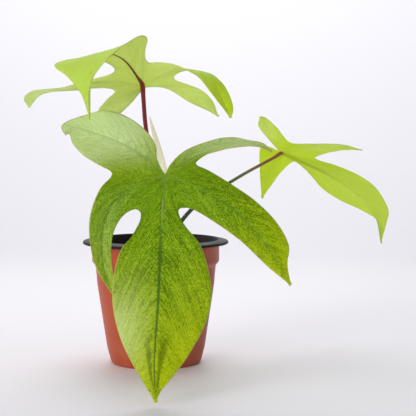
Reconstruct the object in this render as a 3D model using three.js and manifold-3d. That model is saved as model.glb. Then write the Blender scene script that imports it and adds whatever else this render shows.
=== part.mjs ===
// Potted philodendron: a young plant with three lobed leaves in a two-tone nursery pot.
// Millimetres, +Z up. The origin is the centre of the pot's underside; the front is -Y.
import * as THREE from "three";
import { mergeVertices } from "three/addons/utils/BufferGeometryUtils.js";
import Module from "manifold-3d";

const wasm = await Module();
wasm.setup();

// ---------------------------------------------------------------- driving sizes
const CLEARANCE = 0.3;          // gap left between pieces that touch
const POT_HEIGHT = 94;
const POT_WALL = 0.9;
const RIM_RADIUS = 55;          // outer edge of the rolled lip
const LIP_WIDTH = 7;            // flat width of the lip
const LIP_THICKNESS = 1.7;
const LIP_FALL = 1.5;           // how far the lip slopes down to its outer edge
const COLLAR_HEIGHT = 17;       // straight band under the lip
const COLLAR_STEP = 2.6;        // inward step below the collar
const SHOULDER_RADIUS = 37;     // where the taper meets the rounded base
const SHOULDER_HEIGHT = 12;
const FOOT_RADIUS = 34;
const FOOT_RING_WIDTH = 6;      // flat ring that the pot stands on
const CHANNEL_DEPTH = 1.6;      // raised drain channel in the underside
const CENTRE_DISC_RADIUS = 12;  // flat disc inside the channel
const DRAIN_COUNT = 6;
const DRAIN_DIAMETER = 7;
const SOIL_BELOW_RIM = 16;
const SOIL_DOME = 2;            // rise of the mix towards the stem
const STEM_RADIUS = 6;
const STEM_HEIGHT = 15;         // above the mix
const STEM_DEPTH = 28;          // below the surface of the mix
const BLADE_THICKNESS = 0.8;
const SHEATH_WIDTH = 8;
const SHEATH_THICKNESS = 4;
const AROUND_POT = 56;          // facets round the pot
const ALONG_LOBE = 11;          // strips from the base of a lobe to its tip
const ACROSS_LOBE = 2;          // strips from vein to margin

const vec = ([x, y, z]) => new THREE.Vector3(x, y, z);
const soilLevel = POT_HEIGHT - SOIL_BELOW_RIM;
const stemFoot = new THREE.Vector3(0, 0, soilLevel);

// ---------------------------------------------------------------- leaves
// foot: where the petiole meets the blade, from the stem's foot at the surface of the mix.
// Every other point is measured from that foot. A lobe has its vein from the foot to the tip
// and the edge that leads to its tip; each notch between two lobes is one point, and the
// edge after the last tip runs back to the foot.
const leafFront = {
  foot: [11, -115, 70],
  lobes: [
    { edge: [[-6, 3, 8], [-6, 7, 17], [-11, 12, 26], [-20, 17, 34], [-31, 20, 40],
             [-43, 21, 42], [-55, 19, 39], [-66, 15, 35], [-70, 10, 31]],
      vein: [[-11, 2, 10], [-29, 7, 20], [-48, 12, 27], [-62, 12, 31], [-67, 6, 26]],
      back: [[-64, 8, 26], [-62, 6, 20], [-54, 0, 12], [-44, -3, 6]], notch: [-35, -5, 0] },
    { edge: [[-43, -9, -10], [-49, -12, -27], [-49, -14, -44], [-44, -17, -63]],
      vein: [[-15, -3, -5], [-31, -6, -15], [-40, -8, -32], [-41, -12, -50],
             [-38, -16, -68], [-28, -20, -87]],
      back: [[-34, -17, -63], [-35, -13, -46], [-32, -10, -34], [-26, -7, -26]],
      notch: [-18, -6, -23] },
    { edge: [[-15, -7, -26], [-16, -9, -31], [-22, -15, -41], [-29, -19, -50],
             [-33, -26, -67], [-33, -31, -84], [-28, -36, -104], [-18, -40, -124]],
      vein: [[-2, -8, -27], [-3, -23, -57], [-4, -34, -86], [-6, -41, -118], [-5, -42, -145]],
      back: [[-2, -41, -138], [8, -40, -126], [18, -37, -112], [27, -34, -95], [31, -30, -77],
             [29, -24, -62], [23, -17, -45], [11, -9, -32], [7, -7, -26]], notch: [8, -5, -23] },
    { edge: [[17, -5, -23], [30, -6, -30], [50, -9, -44], [68, -11, -61]],
      vein: [[14, -2, -6], [32, -4, -14], [52, -6, -29], [69, -9, -50], [83, -13, -73]],
      back: [[81, -10, -59], [82, -7, -47], [74, -4, -32], [60, 0, -18], [44, 3, -7],
             [29, 5, 2]], notch: [20, 6, 6] },
    { edge: [[22, 6, 9], [31, 5, 14], [45, 6, 17], [61, 9, 18]],
      vein: [[10, 5, 7], [23, 11, 15], [41, 15, 20], [58, 15, 20], [72, 14, 14]],
      back: [[66, 17, 20], [56, 22, 22], [44, 24, 24], [28, 22, 21], [13, 15, 15], [4, 6, 7]] },
  ],
};
const leafTop = {
  foot: [-6, -50, 129],
  lobes: [
    { edge: [[-8, -10, -11], [-16, -18, -19]],
      vein: [[-7, -8, -7], [-18, -16, -15], [-31, -28, -33]],
      back: [[-31, -26, -18], [-26, -18, -10]], notch: [-20, -12, -3] },
    { edge: [[-30, -19, -1], [-43, -30, -3], [-58, -41, -4], [-67, -48, -6]],
      vein: [[-12, -8, 2], [-30, -18, 3], [-46, -29, -1], [-59, -37, -3], [-70, -43, -5],
             [-75, -50, -15]],
      back: [[-79, -46, -10], [-78, -41, -6], [-72, -37, -3], [-59, -31, -2], [-48, -26, 1],
             [-35, -21, 5], [-24, -17, 8]], notch: [-19, -16, 12] },
    { edge: [[-25, -22, 17], [-41, -36, 19], [-58, -47, 14], [-48, -57, 5], [-38, -68, -7]],
      vein: [[-3, -6, 5], [-11, -19, 17], [-19, -31, 22], [-28, -43, 23], [-32, -60, 12],
             [-32, -75, -23]],
      back: [[-33, -75, -9], [-31, -73, 3], [-25, -68, 12], [-17, -60, 21], [-8, -49, 29],
             [0, -40, 34], [4, -31, 32], [1, -18, 22]], notch: [3, -12, 17] },
    { edge: [[10, -12, 17], [20, -14, 16], [30, -20, 12], [39, -25, 6], [47, -30, -4]],
      vein: [[10, -5, 9], [22, -8, 13], [34, -13, 12], [48, -19, 6], [61, -33, -22]],
      back: [[63, -29, -15], [59, -20, -3], [51, -11, 7], [42, -4, 11], [33, 0, 12],
             [26, 1, 11]], notch: [21, 1, 6] },
    { edge: [[31, 7, 2], [41, 12, -2], [49, 15, -10]],
      vein: [[10, 3, 1], [23, 8, -1], [36, 12, -6], [53, 15, -21]],
      back: [[44, 19, -16], [31, 18, -10], [19, 12, -2], [10, 5, 0]] },
  ],
};
const leafRight = {
  foot: [95, 50, 81],
  lobes: [
    { edge: [[-6, 0, 3], [-14, 1, 3], [-14, 11, -17]],
      vein: [[-5, 5, -9], [-12, 20, -39]],
      back: [[-6, 16, -30], [4, 10, -16]], notch: [15, 4, -8] },
    { edge: [[26, 9, -19], [37, 15, -31], [51, 16, -40], [70, 14, -49], [82, 15, -58]],
      vein: [[17, 1, -8], [37, 1, -17], [59, 4, -31], [77, 8, -49], [84, 16, -75]],
      back: [[88, 13, -58], [89, 11, -47], [79, 8, -30], [64, 5, -19], [45, 3, -11]],
      notch: [29, 1, -6] },
    { edge: [[40, -5, -1], [53, -10, 1]],
      vein: [[15, -4, 2], [32, -8, 2], [50, -14, 3], [64, -19, 1]],
      back: [[52, -13, 5], [39, -8, 6], [24, -6, 6]], notch: [9, -3, 7] },
    { edge: [[-1, -10, 18], [-10, -14, 26]],
      vein: [[-5, -6, 9], [-15, -17, 27]],
      back: [[-16, -9, 20], [-9, -4, 11]] },
  ],
};

// Petioles run from the stem's head to the foot of their blade: route points from the stem's
// foot, radius at the stem and at the blade.
const petioleFront = { route: [[0, -4, 3], [1, -18, 34], [5, -52, 58], [9, -90, 67]],
                       base: 2.9, end: 2.0, leaf: leafFront };
const petioleTop = { route: [[-1, 1, 11], [2, -7, 38], [0, -22, 66], [-5, -41, 98]],
                     base: 2.5, end: 1.5, leaf: leafTop };
const petioleRight = { route: [[3, 3, 1], [13, 7, 20], [31, 16, 41], [63, 33, 61]],
                       base: 2.2, end: 1.3, leaf: leafRight };
const sheath = [[4, -1, 10], [9, -10, 42], [6, -22, 72], [-3, -38, 109]];

// ---------------------------------------------------------------- solids
function toManifold(geometry) {
  const bare = new THREE.BufferGeometry();
  bare.setAttribute("position", geometry.getAttribute("position"));
  if (geometry.index) bare.setIndex(geometry.index);
  const welded = mergeVertices(bare, 1e-4);
  return new wasm.Manifold(new wasm.Mesh({
    numProp: 3,
    vertProperties: new Float32Array(welded.getAttribute("position").array),
    triVerts: new Uint32Array(welded.index.array),
  }));
}

function toGeometry(manifold) {
  const { vertProperties, triVerts } = manifold.getMesh();
  const geometry = new THREE.BufferGeometry();
  geometry.setAttribute("position", new THREE.BufferAttribute(vertProperties, 3));
  geometry.setIndex(new THREE.BufferAttribute(triVerts, 1));
  return geometry;
}

// The biggest of the bodies that a cut leaves.
const largest = (manifold) =>
  manifold.decompose().reduce((a, b) => (a.volume() > b.volume() ? a : b));

// The room a solid needs: itself and its copies moved by the clearance along each axis.
function roomFor(solid) {
  const moves = [[1, 0, 0], [0, 1, 0], [0, 0, 1]].flatMap((d) => [1, -1].map((side) =>
    solid.translate(d.map((c) => c * side * CLEARANCE))));
  return wasm.Manifold.union([solid, ...moves]);
}

// A closed profile of [radius, height] turned about Z.
function turned(profile, facets) {
  const points = [...profile, profile[0]].map(([r, z]) => new THREE.Vector2(r, z));
  const geometry = new THREE.LatheGeometry(points, facets);
  geometry.rotateX(Math.PI / 2);
  return geometry;
}

// Rings of points joined into a closed skin with a point at each end.
function skinned(rings, start, end) {
  const n = rings[0].length;
  const positions = [...rings.flat(), start, end].flatMap((p) => p.toArray());
  const first = rings.length * n;
  const index = [];
  for (let i = 0; i < n; i++) {
    const j = (i + 1) % n;
    index.push(first, j, i);
    for (let k = 0; k + 1 < rings.length; k++) {
      const a = k * n;
      const b = a + n;
      index.push(a + i, a + j, b + j, a + i, b + j, b + i);
    }
    const last = (rings.length - 1) * n;
    index.push(first + 1, last + i, last + j);
  }
  const geometry = new THREE.BufferGeometry();
  geometry.setAttribute("position", new THREE.Float32BufferAttribute(positions, 3));
  geometry.setIndex(index);
  return geometry;
}

// A tapered stalk along a smooth route; halfWidth and halfDepth take the share of its length.
function stalk(route, halfWidth, halfDepth, sections = 14, facets = 10) {
  const curve = new THREE.CatmullRomCurve3(route, false, "catmullrom", 0.5);
  const frames = curve.computeFrenetFrames(sections, false);
  const rings = frames.tangents.map((_, k) => {
    const t = k / sections;
    const centre = curve.getPointAt(t);
    return Array.from({ length: facets }, (_, i) => {
      const a = (2 * Math.PI * i) / facets;
      return centre.clone()
        .addScaledVector(frames.normals[k], halfWidth(t) * Math.cos(a))
        .addScaledVector(frames.binormals[k], halfDepth(t) * Math.sin(a));
    });
  });
  return skinned(rings, curve.getPointAt(0), curve.getPointAt(1));
}

// ---------------------------------------------------------------- leaf blade
// Points evenly spaced along a smooth curve through the given ones.
function spaced(points, count) {
  return new THREE.CatmullRomCurve3(points, false, "catmullrom", 0.5).getSpacedPoints(count);
}

// Each half of a lobe is a ruled patch from its vein to its edge. The patches of a leaf share
// their veins and the lines from foot to notch, and the skin is thickened both ways.
function blade(leaf, thickness) {
  const foot = stemFoot.clone().add(vec(leaf.foot));
  const at = (point) => vec(point).add(foot);
  const { lobes } = leaf;
  const vertices = [];
  const known = new Map();
  const faces = [];
  const idOf = (p) => {
    const key = p.toArray().map((c) => Math.round(c * 1000)).join();
    if (!known.has(key)) known.set(key, vertices.push(p) - 1);
    return known.get(key);
  };
  const patch = (vein, edge, flip) => {
    const rows = vein.map((p, i) => Array.from({ length: ACROSS_LOBE + 1 },
      (_, j) => idOf(p.clone().lerp(edge[i], j / ACROSS_LOBE))));
    for (let i = 0; i < ALONG_LOBE; i++) {
      for (let j = 0; j < ACROSS_LOBE; j++) {
        const quad = [rows[i][j], rows[i + 1][j], rows[i + 1][j + 1], rows[i][j + 1]];
        if (flip) quad.reverse();
        for (const tri of [[quad[0], quad[1], quad[2]], [quad[0], quad[2], quad[3]]]) {
          if (new Set(tri).size === 3) faces.push(tri);
        }
      }
    }
  };
  const tips = lobes.map((lobe) => at(lobe.vein.at(-1)));
  const veins = lobes.map((lobe) => spaced([foot, ...lobe.vein.map(at)], ALONG_LOBE));
  for (let k = 0; k <= lobes.length; k++) {
    const before = lobes[k - 1];
    const after = lobes[k];
    const base = before?.notch ? at(before.notch) : foot;
    const down = before ? [tips[k - 1], ...before.back.map(at), base] : [base];
    const up = after ? [...after.edge.map(at), tips[k]] : [];
    const whole = new THREE.CatmullRomCurve3([...down, ...up], false, "catmullrom", 0.5);
    const spans = down.length + up.length - 1;
    const split = (down.length - 1) / spans;
    const run = (from, to) => spaced(Array.from({ length: 41 },
      (_, i) => whole.getPoint(THREE.MathUtils.lerp(from, to, i / 40))), ALONG_LOBE);
    if (before) patch(veins[k - 1], run(split, 0), false);
    if (after) patch(veins[k], run(split, 1), true);
  }
  return thickened(vertices, faces, thickness);
}

// A sheet of triangles turned into a closed solid of even thickness.
function thickened(vertices, faces, thickness) {
  const normals = vertices.map(() => new THREE.Vector3());
  const edges = new Map();
  for (const [a, b, c] of faces) {
    const n = vertices[b].clone().sub(vertices[a]).cross(vertices[c].clone().sub(vertices[a]));
    for (const i of [a, b, c]) normals[i].add(n);
    for (const [i, j] of [[a, b], [b, c], [c, a]]) {
      if (!edges.delete(`${j},${i}`)) edges.set(`${i},${j}`, [i, j]);
    }
  }
  const half = thickness / 2;
  const shifted = (side) => vertices.map((p, i) =>
    p.clone().addScaledVector(normals[i].clone().normalize(), side * half));
  const positions = [...shifted(1), ...shifted(-1)].flatMap((p) => p.toArray());
  const n = vertices.length;
  const index = faces.flatMap(([a, b, c]) => [a, b, c, a + n, c + n, b + n]);
  for (const [i, j] of edges.values()) index.push(j, i, i + n, j, i + n, j + n);
  const geometry = new THREE.BufferGeometry();
  geometry.setAttribute("position", new THREE.Float32BufferAttribute(positions, 3));
  geometry.setIndex(index);
  return geometry;
}

// ---------------------------------------------------------------- pot
const lipInner = RIM_RADIUS - LIP_WIDTH;
const lipEdge = POT_HEIGHT - LIP_FALL;
const collarFoot = POT_HEIGHT - COLLAR_HEIGHT;
const stepFoot = collarFoot - COLLAR_STEP;
const bodyTop = lipInner - COLLAR_STEP;
const ringInner = FOOT_RADIUS - FOOT_RING_WIDTH;
const floorTop = CHANNEL_DEPTH + POT_WALL;

const outerWall = [
  [CENTRE_DISC_RADIUS, 0],
  [CENTRE_DISC_RADIUS + CHANNEL_DEPTH, CHANNEL_DEPTH],
  [ringInner - CHANNEL_DEPTH, CHANNEL_DEPTH],
  [ringInner, 0],
  [FOOT_RADIUS - 1.5, 0],
  [FOOT_RADIUS - 0.4, 0.5],
  [FOOT_RADIUS + 0.2, 1.6],
  [SHOULDER_RADIUS, SHOULDER_HEIGHT],
  [bodyTop, stepFoot],
  [lipInner, collarFoot],
  [lipInner, lipEdge - LIP_THICKNESS],
];
const lipCurve = [
  [RIM_RADIUS - 0.8, lipEdge - LIP_THICKNESS],
  [RIM_RADIUS, lipEdge - LIP_THICKNESS / 2],
  [RIM_RADIUS - 0.5, lipEdge],
  [lipInner, POT_HEIGHT],
  [lipInner - POT_WALL, POT_HEIGHT - 0.5],
];
const innerWall = [
  [lipInner - POT_WALL, collarFoot + 0.4],
  [bodyTop - POT_WALL, stepFoot + 0.4],
  [SHOULDER_RADIUS - POT_WALL, SHOULDER_HEIGHT],
  [FOOT_RADIUS - POT_WALL, floorTop],
];
const axis = (z) => [0, z];
const potShell = turned(
  [axis(0), ...outerWall, ...lipCurve, ...innerWall, axis(floorTop)], AROUND_POT);
const drainCircle = (CENTRE_DISC_RADIUS + ringInner) / 2;
const drains = Array.from({ length: DRAIN_COUNT }, (_, i) => {
  const a = ((i + 0.5) * 2 * Math.PI) / DRAIN_COUNT;
  return wasm.Manifold.cylinder(3 * floorTop, DRAIN_DIAMETER / 2, DRAIN_DIAMETER / 2, 20)
    .translate([drainCircle * Math.cos(a), drainCircle * Math.sin(a), -floorTop]);
});
const pot = toGeometry(toManifold(potShell).subtract(wasm.Manifold.union(drains)));

// ---------------------------------------------------------------- stem and potting mix
// A leafy stem's stump: ring scars, a little wider at each node, rounded head.
function stemProfile(grow) {
  const r = STEM_RADIUS + grow;
  const h = STEM_HEIGHT;
  return [
    axis(-STEM_DEPTH - grow), [0.7 * r, -STEM_DEPTH - grow], [r, -STEM_DEPTH + 3], [r, 0],
    [r * 1.05, h * 0.3], [r * 0.94, h * 0.36], [r * 1.02, h * 0.6], [r * 0.9, h * 0.66],
    [r * 0.86, h * 0.85 + grow], [r * 0.55, h * 0.96 + grow], axis(h + grow),
  ];
}
const stemSolid = (grow) => turned(stemProfile(grow), 24).translate(0, 0, soilLevel);

// Radius inside the pot at a height, less the clearance.
function insideRadius(z) {
  const wall = [...innerWall].reverse();
  const k = Math.max(1, wall.findIndex(([, height]) => height >= z));
  const [[r0, z0], [r1, z1]] = [wall[k - 1], wall[k]];
  return r0 + ((r1 - r0) * (z - z0)) / (z1 - z0) - CLEARANCE;
}
const mixFloor = floorTop + CLEARANCE;
const mixProfile = [
  axis(mixFloor),
  [insideRadius(mixFloor), mixFloor],
  [insideRadius(SHOULDER_HEIGHT), SHOULDER_HEIGHT],
  [insideRadius(stepFoot), stepFoot],
  [insideRadius(soilLevel - SOIL_DOME), soilLevel - SOIL_DOME],
  [0.6 * bodyTop, soilLevel - 0.4 * SOIL_DOME],
  axis(soilLevel),
];
const mix = toGeometry(toManifold(turned(mixProfile, AROUND_POT))
  .subtract(toManifold(stemSolid(CLEARANCE))));

// ---------------------------------------------------------------- stalks
const onStem = (point) => vec(point).add(stemFoot);
const stemKeepOut = toManifold(stemSolid(CLEARANCE));

// Thick and clasping at the stem, slim through its length, swollen a little at the blade.
function petiole({ route, base, end, leaf }) {
  const foot = onStem(leaf.foot);
  const radius = (t) => end + (base - end) * (1 - t) ** 2 + 0.25 * end * t ** 8;
  const solid = toManifold(stalk([...route.map(onStem), foot], radius, radius));
  const bladeRoom = roomFor(toManifold(blade(leaf, BLADE_THICKNESS)));
  return largest(solid.subtract(stemKeepOut).subtract(bladeRoom));
}

const petioles = [petioleFront, petioleTop, petioleRight].map(petiole);
// The sheath is a flattened spear, widest near its middle and drawn out to a point.
const swell = (t) => (0.5 + 0.6 * t) * (1 - Math.min(1, t) ** 3) ** 0.7 + 0.02;
const spear = stalk(sheath.map(onStem), (t) => (SHEATH_WIDTH / 2) * swell(t),
  (t) => (SHEATH_THICKNESS / 2) * swell(t));
const sheathSolid = largest(toManifold(spear).subtract(stemKeepOut));

// ---------------------------------------------------------------- assembly
const material = (color, roughness) =>
  new THREE.MeshStandardMaterial({ color, roughness, metalness: 0 });
const leafGreen = material(0x86a83a, 0.45);
const paleLeaf = material(0xa8c850, 0.45);
const pieces = {
  nursery_pot: [pot, material(0xb05f3c, 0.45)],
  potting_mix: [mix, material(0x2c2018, 0.95)],
  stem: [stemSolid(0), material(0x6f7f3a, 0.6)],
  petiole_front: [toGeometry(petioles[0]), material(0x7a9440, 0.45)],
  petiole_top: [toGeometry(petioles[1]), material(0x7a2a2e, 0.4)],
  petiole_right: [toGeometry(petioles[2]), material(0x5c5a38, 0.45)],
  leaf_sheath: [toGeometry(sheathSolid), material(0xe8e6c4, 0.5)],
  blade_front: [blade(leafFront, BLADE_THICKNESS), leafGreen],
  blade_top: [blade(leafTop, BLADE_THICKNESS), paleLeaf],
  blade_right: [blade(leafRight, BLADE_THICKNESS), paleLeaf],
};
const group = new THREE.Group();
group.name = "potted_philodendron";
for (const [name, [geometry, look]] of Object.entries(pieces)) {
  const mesh = new THREE.Mesh(geometry, look);
  mesh.name = name;
  group.add(mesh);
}

export default group;
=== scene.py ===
"""Potted philodendron: three lobed leaves on slender petioles in a two-tone nursery pot.

Each piece is a surface worked out from a few sizes, in metres, in the frame of the loaded model.
"""
import math

import bpy
import numpy as np
from bpy.props import FloatProperty, FloatVectorProperty, IntProperty, PointerProperty
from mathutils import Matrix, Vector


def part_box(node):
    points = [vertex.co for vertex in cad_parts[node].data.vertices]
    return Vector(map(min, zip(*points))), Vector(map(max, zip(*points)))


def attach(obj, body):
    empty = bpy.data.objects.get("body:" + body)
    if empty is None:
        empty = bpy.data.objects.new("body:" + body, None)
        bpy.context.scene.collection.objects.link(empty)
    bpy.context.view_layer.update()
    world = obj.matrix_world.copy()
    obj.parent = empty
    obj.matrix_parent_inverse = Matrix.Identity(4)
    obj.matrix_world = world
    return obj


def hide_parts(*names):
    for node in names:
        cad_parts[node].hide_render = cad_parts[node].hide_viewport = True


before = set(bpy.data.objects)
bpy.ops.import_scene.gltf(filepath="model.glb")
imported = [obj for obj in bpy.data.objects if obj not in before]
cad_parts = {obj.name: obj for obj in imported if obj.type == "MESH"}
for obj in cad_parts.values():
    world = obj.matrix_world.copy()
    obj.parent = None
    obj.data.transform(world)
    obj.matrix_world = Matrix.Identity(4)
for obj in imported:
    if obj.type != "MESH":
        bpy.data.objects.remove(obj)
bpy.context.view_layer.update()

bl_info = {
    "name": "Potted Philodendron",
    "version": (1, 0, 0),
    "blender": (4, 5, 0),
    "location": "3D View > Sidebar > Philodendron",
    "description": "Builds a young potted philodendron from leaf, stalk, pot and soil surfaces",
    "category": "Add Mesh",
}

MM = 0.001
BODY = "root"
TIP_ROUND = 1.3          # radius of a lobe's very tip, in millimetres
POT_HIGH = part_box("nursery_pot")[1]
MIX_LOW, MIX_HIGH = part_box("potting_mix")
STEM_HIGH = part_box("stem")[1]
RIM_RADIUS = POT_HIGH.x
POT_HEIGHT = POT_HIGH.z
SOIL_LEVEL = MIX_HIGH.z
STEM_FOOT = np.array([0.0, 0.0, SOIL_LEVEL])

LOBE_ROWS = 64           # strips from a lobe's foot to its tip
HALF_LOBE_COLUMNS = 18   # strips from its main vein to its edge
SPAN_SAMPLES = 60        # points worked out along each span of a blade's outline
CURVE_SAMPLES = 400      # points worked out along a whole route or vein
FOLD_ROUNDS = 26         # rounds of relaxing that take the folds out of a blade
TINT_AND_SHEEN_ROUNDS = 90         # rounds that blend the tints and the painted sheen of neighbouring lobes
PLEAT_STEP = 6.2         # from one side vein to the next, in millimetres
STALK_ROUND = 1.2        # length of a stalk's rounded end, in millimetres
POT_AROUND = 160         # facets round the pot
MIX_AROUND = 220         # facets round the mix
SOIL_SINK = 0.4          # how far the bed lies below the mix's level, in millimetres
SOIL_DOME = 2            # how far it falls away towards the pot's wall, in millimetres
LUMP_HEIGHT = 0.9        # roughness of the bed, in millimetres
LUMP_LIMIT = 0.38        # the most a lump may rise, in millimetres
DRAIN_COUNT = 6
DRAIN_RADIUS = 3.5       # in millimetres
DRAIN_RING = 20          # radius of the ring of drain holes, in millimetres
CAMERA_SIDE = 0.0395     # how far right of the pot's middle the camera stands, in metres
CAMERA_BACK = 0.979      # how far in front of it, in metres

# ------------------------------------------------------------------ leaves, in millimetres
# foot: where the petiole meets the blade, from the stem's foot at the surface of the mix.
# The other points are measured from that foot. A lobe has the edge that leads to its tip, its
# vein from the foot to the tip, the edge that leads back, and the notch before the next lobe.
# pale: how far the lobe has paled near its foot and at its tip, how strong its painted sheen is,
# how much painted shade darkens its main vein and folds, and its painted highlight at the left
# margin.
LEAF_FRONT = {
    "foot": (11, -115, 70),
    "lobes": (
        {"pale": (0.3, 0.6, 1.3, 0.0, 0.0),
         "edge": [(-6, 3, 8), (-6, 7, 17), (-11, 12, 26), (-20, 17, 34), (-31, 20, 40),
                  (-43, 21, 42), (-55, 19, 39), (-66, 15, 35), (-70, 10, 31)],
         "vein": [(-11, 2, 10), (-29, 7, 20), (-48, 12, 27), (-62, 12, 31), (-67, 6, 26)],
         "back": [(-64, 8, 26), (-62, 6, 20), (-54, 0, 12), (-44, -3, 6)],
         "notch": (-35, -5, 0)},
        {"pale": (0.0, 0.4, 0.12, 0.05, 0.0),
         "edge": [(-43, -9, -10), (-49, -12, -27), (-49, -14, -44), (-44, -17, -63)],
         "vein": [(-15, -3, -5), (-31, -6, -15), (-40, -8, -32), (-41, -12, -50),
                  (-38, -16, -68), (-28, -20, -87)],
         "back": [(-34, -17, -63), (-35, -13, -46), (-32, -10, -34), (-26, -7, -26)],
         "notch": (-18, -6, -23)},
        {"pale": (0.0, 1.0, 0.0, 0.65, 1.6),
         "edge": [(-15, -7, -26), (-16, -9, -31), (-22, -15, -41), (-29, -19, -50),
                  (-33, -26, -67), (-33, -31, -84), (-28, -36, -104), (-18, -40, -124)],
         "vein": [(-2, -8, -27), (-3, -23, -57), (-4, -34, -86), (-6, -41, -118),
                  (-5, -42, -145)],
         "back": [(-2, -41, -138), (8, -40, -126), (18, -37, -112), (27, -34, -95),
                  (31, -30, -77), (29, -24, -62), (23, -17, -45), (11, -9, -32), (7, -7, -26)],
         "notch": (8, -5, -23)},
        {"pale": (0.0, 0.7, 0.0, 0.1, 0.0),
         "edge": [(17, -5, -23), (30, -6, -30), (50, -9, -44), (68, -11, -61)],
         "vein": [(14, -2, -6), (32, -4, -14), (52, -6, -29), (69, -9, -50), (83, -13, -73)],
         "back": [(81, -10, -59), (82, -7, -47), (74, -4, -32), (60, 0, -18), (44, 3, -7),
                  (29, 5, 2)], "notch": (20, 6, 6)},
        {"pale": (0.2, 0.4, 0.6, 0.0, 0.0),
         "edge": [(22, 6, 9), (31, 5, 14), (45, 6, 17), (61, 9, 18)],
         "vein": [(10, 5, 7), (23, 11, 15), (41, 15, 20), (58, 15, 20), (72, 14, 14)],
         "back": [(66, 17, 20), (56, 22, 22), (44, 24, 24), (28, 22, 21), (13, 15, 15),
                  (4, 6, 7)]},
    ),
}
LEAF_TOP = {
    "foot": (-6, -50, 129),
    "lobes": (
        {"pale": (0.1, 0.3, 0.4, 0.0, 0.0),
         "edge": [(-8, -10, -11), (-16, -18, -19)],
         "vein": [(-7, -8, -7), (-18, -16, -15), (-31, -28, -33)],
         "back": [(-31, -26, -18), (-26, -18, -10)], "notch": (-20, -12, -3)},
        {"pale": (0.1, 0.4, 0.4, 0.0, 0.0),
         "edge": [(-30, -19, -1), (-43, -30, -3), (-58, -41, -4), (-67, -48, -6)],
         "vein": [(-12, -8, 2), (-30, -18, 3), (-46, -29, -1), (-59, -37, -3), (-70, -43, -5),
                  (-75, -50, -15)],
         "back": [(-79, -46, -10), (-78, -41, -6), (-72, -37, -3), (-59, -31, -2),
                  (-48, -26, 1), (-35, -21, 5), (-24, -17, 8)], "notch": (-19, -16, 12)},
        {"pale": (0.2, 1.0, 0.35, 0.05, 0.0),
         "edge": [(-25, -22, 17), (-41, -36, 19), (-58, -47, 14), (-48, -57, 5),
                  (-38, -68, -7)],
         "vein": [(-3, -6, 5), (-11, -19, 17), (-19, -31, 22), (-28, -43, 23),
                  (-32, -60, 12), (-32, -75, -23)],
         "back": [(-33, -75, -9), (-31, -73, 3), (-25, -68, 12), (-17, -60, 21), (-8, -49, 29),
                  (0, -40, 34), (4, -31, 32), (1, -18, 22)], "notch": (3, -12, 17)},
        {"pale": (0.1, 0.25, 0.0, 0.0, 0.0),
         "edge": [(10, -12, 17), (20, -14, 16), (30, -20, 12), (39, -25, 6), (47, -30, -4)],
         "vein": [(10, -5, 9), (22, -8, 13), (34, -13, 12), (48, -19, 6), (61, -33, -22)],
         "back": [(63, -29, -15), (59, -20, -3), (51, -11, 7), (42, -4, 11), (33, 0, 12),
                  (26, 1, 11)], "notch": (21, 1, 6)},
        {"pale": (0.2, 0.6, 0.2, 0.0, 0.0),
         "edge": [(31, 7, 2), (41, 12, -2), (49, 15, -10)],
         "vein": [(10, 3, 1), (23, 8, -1), (36, 12, -6), (53, 15, -21)],
         "back": [(44, 19, -16), (31, 18, -10), (19, 12, -2), (10, 5, 0)]},
    ),
}
LEAF_RIGHT = {
    "foot": (95, 50, 81),
    "lobes": (
        {"pale": (1.0, 1.0, 0.0, 0.1, 0.0),
         "edge": [(-6, 0, 3), (-14, 1, 3), (-14, 11, -17)],
         "vein": [(-5, 5, -9), (-12, 20, -39)],
         "back": [(-6, 16, -30), (4, 10, -16)], "notch": (15, 4, -8)},
        {"pale": (0.45, 0.55, 0.3, 0.2, 0.0),
         "edge": [(26, 9, -19), (37, 15, -31), (51, 16, -40), (70, 14, -49), (82, 15, -58)],
         "vein": [(17, 1, -8), (37, 1, -17), (59, 4, -31), (77, 8, -49), (84, 16, -75)],
         "back": [(88, 13, -58), (89, 11, -47), (79, 8, -30), (64, 5, -19), (45, 3, -11)],
         "notch": (29, 1, -6)},
        {"pale": (0.3, 0.4, 0.5, 0.0, 0.0),
         "edge": [(40, -5, -1), (53, -10, 1)],
         "vein": [(15, -4, 2), (32, -8, 2), (50, -14, 3), (64, -19, 1)],
         "back": [(52, -13, 5), (39, -8, 6), (24, -6, 6)], "notch": (9, -3, 7)},
        {"pale": (0.2, 0.4, 0.6, 0.0, 0.0),
         "edge": [(-1, -10, 18), (-10, -14, 26)],
         "vein": [(-5, -6, 9), (-15, -17, 27)],
         "back": [(-16, -9, 20), (-9, -4, 11)]},
    ),
}
ROUTE_FRONT = [(0, -4, 3), (1, -18, 34), (5, -52, 58), (9, -90, 67)]
ROUTE_TOP = [(-1, 1, 11), (2, -7, 38), (0, -22, 66), (-5, -41, 98)]
ROUTE_RIGHT = [(3, 3, 1), (13, 7, 20), (31, 16, 41), (63, 33, 61)]
ROUTE_SHEATH = [(4, -1, 10), (9, -10, 42), (6, -22, 72), (-3, -38, 109)]


# ------------------------------------------------------------------ curves and meshes
def smooth_through(points, samples):
    """A curve through every point: cubic spans whose slope at a point is half the step
    between its neighbours, with the ends continued straight. Rows are even in parameter."""
    p = np.asarray(points, float)
    spans = len(p) - 1
    q = np.vstack([2 * p[0] - p[1], p, 2 * p[-1] - p[-2]])
    s = np.linspace(0, spans, samples)
    i = np.minimum(s.astype(int), spans - 1)
    f = (s - i)[:, None]
    a, b, c, d = q[i], q[i + 1], q[i + 2], q[i + 3]
    return (b + f * (c - a) / 2 + f**2 * (a - 2.5 * b + 2 * c - d / 2)
            + f**3 * (1.5 * b - a / 2 - 1.5 * c + d / 2))


def resampled(curve, shares):
    """The same curve at the given shares of its length, and that length."""
    step = np.linalg.norm(np.diff(curve, axis=0), axis=1)
    length = np.concatenate([[0], np.cumsum(step)])
    at = shares * length[-1]
    return np.stack([np.interp(at, length, curve[:, k]) for k in range(3)], axis=-1), length[-1]


def unit(v):
    """Vectors scaled to length 1."""
    return v / np.maximum(np.linalg.norm(v, axis=-1, keepdims=True), 1e-12)


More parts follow.
